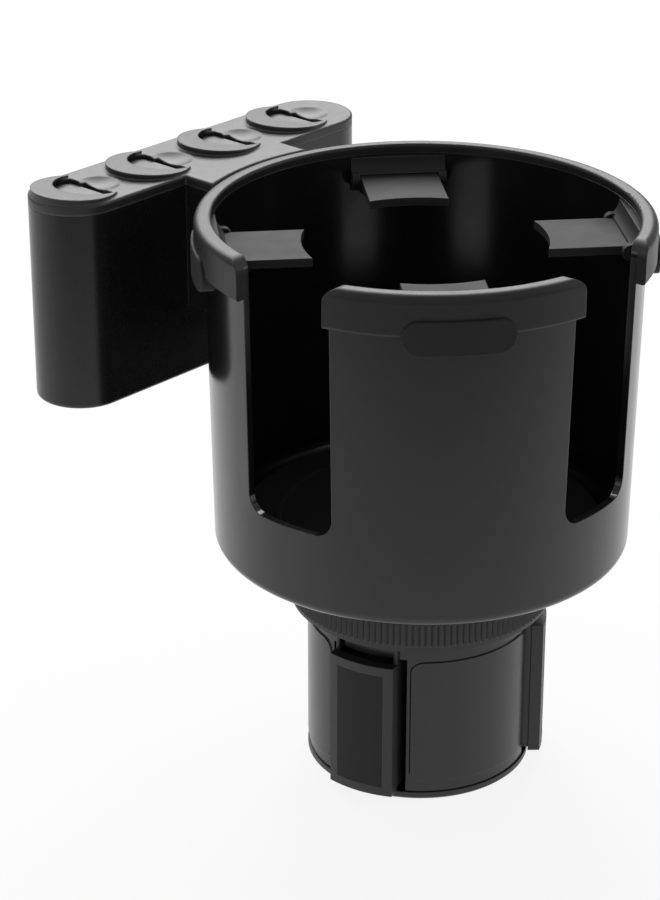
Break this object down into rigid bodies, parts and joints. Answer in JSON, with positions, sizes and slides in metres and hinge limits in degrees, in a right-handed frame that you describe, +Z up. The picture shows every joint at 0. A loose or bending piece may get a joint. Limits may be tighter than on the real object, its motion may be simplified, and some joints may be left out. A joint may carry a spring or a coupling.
{
  "type": "cup holder expander",
  "caption": "Round cup on an expanding base, with a slot each side of its front for a mug handle, rubber flaps at the rim and a side box with sprung coin wells.",
  "frame": {"origin": "middle of the base's underside, on the cup's axis", "axes": "+Z up along the cup's axis, -Y towards the front panel between the handle slots"},
  "size_m": [0.1601, 0.158, 0.1567],
  "materials": {
    "gloss_black": "moulded gloss",
    "satin_black": "fine spark-eroded satin",
    "rubber_black": "soft matte",
    "screw_steel": "zinc plated",
    "spring_steel": "drawn wire"
  },
  "bodies": {
    "ring": {"adjust_ring": "satin_black"},
    "shoe_1": {"shoe_1": "satin_black", "shoe_pad_1": "rubber_black"},
    "shoe_2": {"shoe_2": "satin_black", "shoe_pad_2": "rubber_black"},
    "shoe_3": {"shoe_3": "satin_black", "shoe_pad_3": "rubber_black"},
    "flap_front": {"grip_flap_front": "rubber_black"},
    "flap_back": {"grip_flap_back": "rubber_black"},
    "flap_left": {"grip_flap_left": "rubber_black"},
    "flap_right": {"grip_flap_right": "rubber_black"},
    "plate_1": {"coin_plate_1": "satin_black", "coin_spring_1": "spring_steel"},
    "plate_2": {"coin_plate_2": "satin_black", "coin_spring_2": "spring_steel"},
    "plate_3": {"coin_plate_3": "satin_black", "coin_spring_3": "spring_steel"},
    "plate_4": {"coin_plate_4": "satin_black", "coin_spring_4": "spring_steel"},
    "cup": {"cup_body": "gloss_black", "rim_band_back": "satin_black", "rim_band_front": "satin_black", "floor_mat": "rubber_black", "centre_bolt": "screw_steel", "bolt_washer": "screw_steel", "centre_nut": "screw_steel", "floor_screws": "screw_steel", "bracket_screws": "screw_steel", "base_shell": "gloss_black", "base_floor": "satin_black", "grip_plug_front": "rubber_black", "grip_plug_back": "rubber_black", "grip_plug_left": "rubber_black", "grip_plug_right": "rubber_black", "box_housing": "gloss_black", "box_cover": "satin_black"}
  },
  "joints": [
    {"name": "ring_turn", "type": "hinge", "parent": "cup", "child": "ring", "pos_m": [0, 0, 0.0473], "axis": [0, 0, 1], "range_deg": [-40, 60]},
    {"name": "shoe_slide_1", "type": "slide", "parent": "cup", "child": "shoe_1", "axis": [0.9952, -0.0976, 0], "range_m": [-0.00401, 0.00601]},
    {"name": "shoe_slide_2", "type": "slide", "parent": "cup", "child": "shoe_2", "axis": [-0.4131, 0.9107, 0], "range_m": [-0.00401, 0.00601]},
    {"name": "shoe_slide_3", "type": "slide", "parent": "cup", "child": "shoe_3", "axis": [-0.5821, -0.8131, 0], "range_m": [-0.00401, 0.00601]},
    {"name": "flap_hinge_front", "type": "hinge", "parent": "cup", "child": "flap_front", "pos_m": [0, -0.05069, 0.1469], "axis": [-1, 0, 0], "range_deg": [0, 70], "stiffness_Nm_per_rad": 0.02, "springref_deg": -20.05},
    {"name": "flap_hinge_back", "type": "hinge", "parent": "cup", "child": "flap_back", "pos_m": [0, 0.05069, 0.1469], "axis": [1, 0, 0], "range_deg": [0, 70], "stiffness_Nm_per_rad": 0.02, "springref_deg": -20.05},
    {"name": "flap_hinge_left", "type": "hinge", "parent": "cup", "child": "flap_left", "pos_m": [-0.05069, 0, 0.1469], "axis": [0, 1, 0], "range_deg": [0, 70], "stiffness_Nm_per_rad": 0.02, "springref_deg": -20.05},
    {"name": "flap_hinge_right", "type": "hinge", "parent": "cup", "child": "flap_right", "pos_m": [0.05069, 0, 0.1469], "axis": [0, -1, 0], "range_deg": [0, 70], "stiffness_Nm_per_rad": 0.02, "springref_deg": -20.05},
    {"name": "plate_slide_1", "type": "slide", "parent": "cup", "child": "plate_1", "axis": [0, 0, -1], "range_m": [0, 0.036], "stiffness_N_per_m": 25, "springref_m": -0.02, "deforming": ["coin_spring_1"]},
    {"name": "plate_slide_2", "type": "slide", "parent": "cup", "child": "plate_2", "axis": [0, 0, -1], "range_m": [0, 0.036], "stiffness_N_per_m": 25, "springref_m": -0.02, "deforming": ["coin_spring_2"]},
    {"name": "plate_slide_3", "type": "slide", "parent": "cup", "child": "plate_3", "axis": [0, 0, -1], "range_m": [0, 0.036], "stiffness_N_per_m": 25, "springref_m": -0.02, "deforming": ["coin_spring_3"]},
    {"name": "plate_slide_4", "type": "slide", "parent": "cup", "child": "plate_4", "axis": [0, 0, -1], "range_m": [0, 0.036], "stiffness_N_per_m": 25, "springref_m": -0.02, "deforming": ["coin_spring_4"]}
  ],
  "couplings": [
    {"joint": "shoe_slide_1", "follows": "ring_turn", "m_per_rad": 0.0057296},
    {"joint": "shoe_slide_2", "follows": "ring_turn", "m_per_rad": 0.0057296},
    {"joint": "shoe_slide_3", "follows": "ring_turn", "m_per_rad": 0.0057296}
  ]
}
